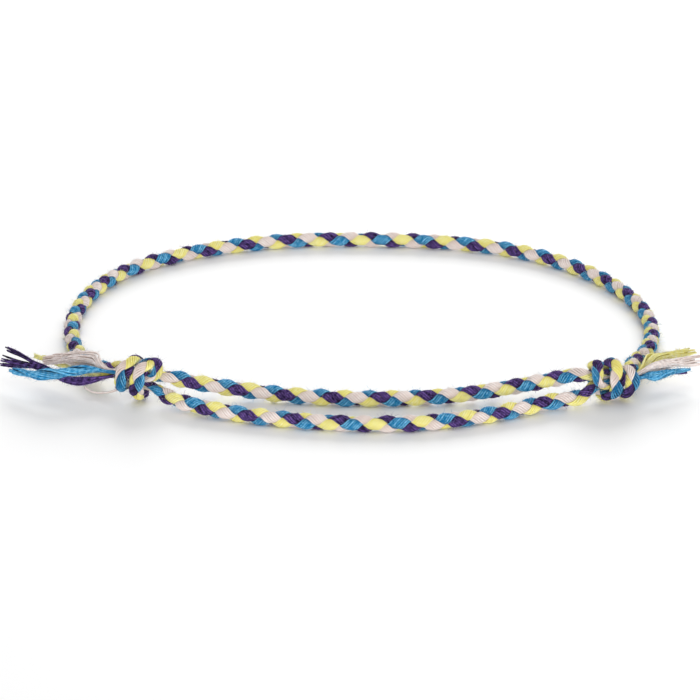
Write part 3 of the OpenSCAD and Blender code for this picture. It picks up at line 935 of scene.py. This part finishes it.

# %% [markdown]
# ## Cotton floss
# Dyed cotton is matt with a soft sheen from its hairs, and it is never one flat colour. Shade is also
# painted into the colour: a thread is paler on its crown and painted darker in the grooves beside it,
# where light hardly gets in, and darker again where it dives into the braid. A picture of floss could
# be laid on, but it would repeat and blur. The material mixes a painted groove shade, a deep shade and
# a pale shade by the marks that each point carries. Two noises mottle the dye: fine flecks and wider
# patches. They are laid by the object's own coordinates, in metres, so their size is a real one. The
# ply of the thread, two yarns twisted together, is a slanting wave that paints a highlight on each
# ridge. It and the flecks also feed a Bump node. Loose locks are painted paler, and hairs paler by
# their shine: painted light as well.

# %% The shades of each floss: the painted shade of its grooves, its deep colour and its pale crown
SHADES = {
    "purple": ("0C051A", "1C0E36", "7E60B0"),
    "cream": ("D0BCB2", "EEDFD9", "FDF6F3"),
    "turquoise": ("06406A", "1084BE", "8EDAFF"),
    "yellow": ("DCCF66", "F8F08E", "FFFDC6"),
}
print("shades:", ", ".join(SHADES))

# %% What makes a point of the floss pale, partly by painted highlight, and what opens it out of the painted shade
YARNS = 2
PLY_LAY = 0.8
FLECK_SCALE = 3400.0
PATCH_SCALE = 700.0
PALE_BY_TONE = 0.7
# The ply's ridges get a painted highlight.
PLY_HIGHLIGHT = 0.25
LOOSE_PLY_HIGHLIGHT = 0.35
PALE_BY_FLECKS = 3.0
LOOSE_CALMS_FLECKS = 1.3
PALE_BY_PATCHES = 0.6
# Loose locks are painted paler: painted light.
LOOSE_PAINTED_LIGHT = 0.5
PALE_FROM = 1.85
# Each opens from the first number on, as steeply as the second says, out of the painted groove shade.
OPEN_FACING = (0.6, 2.8)
OPEN_DEPTH = (0.35, 1.9)
BUMP_BY_PLY = 0.6
BUMP_BY_FLECKS = 0.9


def floss_values(net):
    """The values of a thread's skin: pale share, share out of painted shade, hair shine, height for the
    bump.
    """
    marks = net.node("ShaderNodeAttribute", {"attribute_name": "floss"})
    tone = net.node("ShaderNodeSeparateColor", {}, {0: marks})
    depth, facing, looseness = tone.beside("Green"), tone.beside("Blue"), marks.beside("Alpha")
    # A hair's shine frees it from the painted groove shade and paints it paler: a painted sheen.
    hair_shine = (looseness - 1).clamped()
    loose = looseness.clamped()
    along = net.node("ShaderNodeSeparateXYZ", {}, {0: net.node("ShaderNodeUVMap", {"uv_map": "along"})})
    ply = (along*(2*math.pi/PLY_LAY) + along.beside("Y")*(YARNS*2*math.pi)).sin()*0.5 + 0.5
    place = net.node("ShaderNodeTexCoord", output="Object")
    flecks = net.node("ShaderNodeTexNoise", {}, {
        "Vector": place, "Scale": FLECK_SCALE, "Detail": 3.0, "Roughness": 0.7})
    patches = net.node("ShaderNodeTexNoise", {}, {"Vector": place, "Scale": PATCH_SCALE, "Detail": 2.0})
    # Tone, flecks and patches are the dye's own. The ply paints a highlight on each ridge, and loose
    # locks are painted paler against the shade among their threads.
    pale = (tone*PALE_BY_TONE + ply*(loose*LOOSE_PLY_HIGHLIGHT + PLY_HIGHLIGHT)
            + flecks*(PALE_BY_FLECKS - loose*LOOSE_CALMS_FLECKS)
            + patches*PALE_BY_PATCHES + loose*LOOSE_PAINTED_LIGHT - PALE_FROM)
    # Painted shade: a point that faces into its strand or lies deep in the braid is not open, and gets
    # the groove shade.
    faces_out = ((facing - OPEN_FACING[0])*OPEN_FACING[1]).clamped()
    lies_out = ((depth - OPEN_DEPTH[0])*OPEN_DEPTH[1]).clamped()
    return pale, faces_out*lies_out, hair_shine, ply*BUMP_BY_PLY + flecks*BUMP_BY_FLECKS


print(f"{YARNS} yarns to a thread, with a ridge every {PLY_LAY} mm along it")

# %% The cotton's material
HAIR_PAINTED_SHEEN = 0.7
BUMP_STRENGTH = 0.9
BUMP_HEIGHT = 0.00006


def cotton(colour):
    net = Net("cotton_" + colour)
    painted_groove_shade, deep, pale = map(srgb, SHADES[colour])
    pale_share, unshaded_share, hair_shine, height = floss_values(net)
    # Painted shade: the groove shade is laid where a point faces into its strand or lies deep in the
    # braid.
    here = net.mix(unshaded_share + hair_shine, painted_groove_shade, net.mix(pale_share, deep, pale))
    # Hairs are painted paler by their shine: a painted sheen.
    lit = net.mix(hair_shine*HAIR_PAINTED_SHEEN, here, pale)
    bump = net.node("ShaderNodeBump", {}, {
        "Strength": BUMP_STRENGTH, "Distance": BUMP_HEIGHT, "Height": height})
    return net.finished(net.node("ShaderNodeBsdfPrincipled", {}, {
        "Base Color": lit, "Normal": bump, "Roughness": 0.85, "Specular IOR Level": 0.2,
        "Sheen Weight": 0.16, "Sheen Roughness": 0.45, "Sheen Tint": pale}))


for colour in STRANDS:
    material = cotton(colour)
    for kind in ("floss_", "fuzz_"):
        pieces[kind + colour].data.materials.append(material)
    print(f"{material.name}: {len(material.node_tree.nodes)} nodes")

# %% [markdown]
# ## The table and the light
# The photograph is a bright studio picture: a white table without an edge, even light from all round,
# and a large soft lamp low behind, which leaves pale grey shadows on the near side of the cord. A
# second soft lamp stands low in front. It lights the cord's near side and only grazes the table, so
# the shadows stay. A sun lamp would be simpler, but its shadows have hard edges.

# %% The table
TABLE_SIZE = 6.0
bpy.ops.mesh.primitive_plane_add(size=TABLE_SIZE, location=(0, 0, 0))
table = bpy.context.object
table.name = "table"
white = Net("white_table")
table.data.materials.append(white.finished(white.node("ShaderNodeBsdfPrincipled", {}, {
    "Base Color": srgb("F7F7F7"), "Roughness": 0.6, "Specular IOR Level": 0.2})))
print(f"{table.name}: {TABLE_SIZE} m square, so that its edge lies outside the picture")

# %% The light from all round
SKY_STRENGTH = 0.70
world = bpy.data.worlds.new("studio")
bpy.context.scene.world = world
world.use_nodes = True
sky = world.node_tree.nodes["Background"]
sky.inputs["Color"].default_value = srgb("FDFDFD")
sky.inputs["Strength"].default_value = SKY_STRENGTH
bpy.context.scene.view_settings.view_transform = "Standard"
print(f"{world.name}: strength {SKY_STRENGTH}")

# %% The two lamps: their places and sizes in metres, and their power in watts
LAMPS = {
    "lamp_behind": ((0.10, 1.10, 0.45), 0.70, 10.5),
    "lamp_front": ((0.15, -0.95, 0.12), 0.50, 5.5),
}


def soft_lamp(name, place, size, power):
    """A round lamp that faces the bracelet."""
    lamp = bpy.data.lights.new(name, "AREA")
    lamp.shape = "DISK"
    lamp.size = size
    lamp.energy = power
    holder = bpy.data.objects.new(name, lamp)
    holder.location = place
    holder.rotation_euler = (-Vector(place)).to_track_quat("-Z", "Y").to_euler()
    bpy.context.scene.collection.objects.link(holder)


for name, (place, size, power) in LAMPS.items():
    soft_lamp(name, place, size, power)
    print(f"{name}: {Vector(place).length:.2f} m away, {power} W")

# %% [markdown]
# ## The camera
# The photograph looks down at the bracelet at about 22 degrees through a long lens, so the far side
# of the loop looks hardly smaller than the near side. A short lens close by could show the same
# frame, but the near cord would look too thick. So the camera stands nearly half a metre away. Its
# place is given in mm.

# %% The camera
CAMERA_AT = [0, -435.0, 170.157]
CAMERA_DOWN = 21.744
LENS_PIXELS = 3554
PHOTO_PIXELS = 700
SENSOR_MM = 36
NEAREST_M = 0.01
lens = bpy.data.cameras.new("camera")
lens.sensor_width = SENSOR_MM
lens.lens = LENS_PIXELS/PHOTO_PIXELS*SENSOR_MM
lens.clip_start = NEAREST_M
camera = bpy.data.objects.new("camera", lens)
camera.location = (np.array(CAMERA_AT) - ORIGIN)*MM
camera.rotation_euler = (math.radians(90 - CAMERA_DOWN), 0, 0)
bpy.context.scene.collection.objects.link(camera)
bpy.context.scene.camera = camera
print(f"camera {camera.location.length:.3f} m away, lens {lens.lens:.0f} mm")
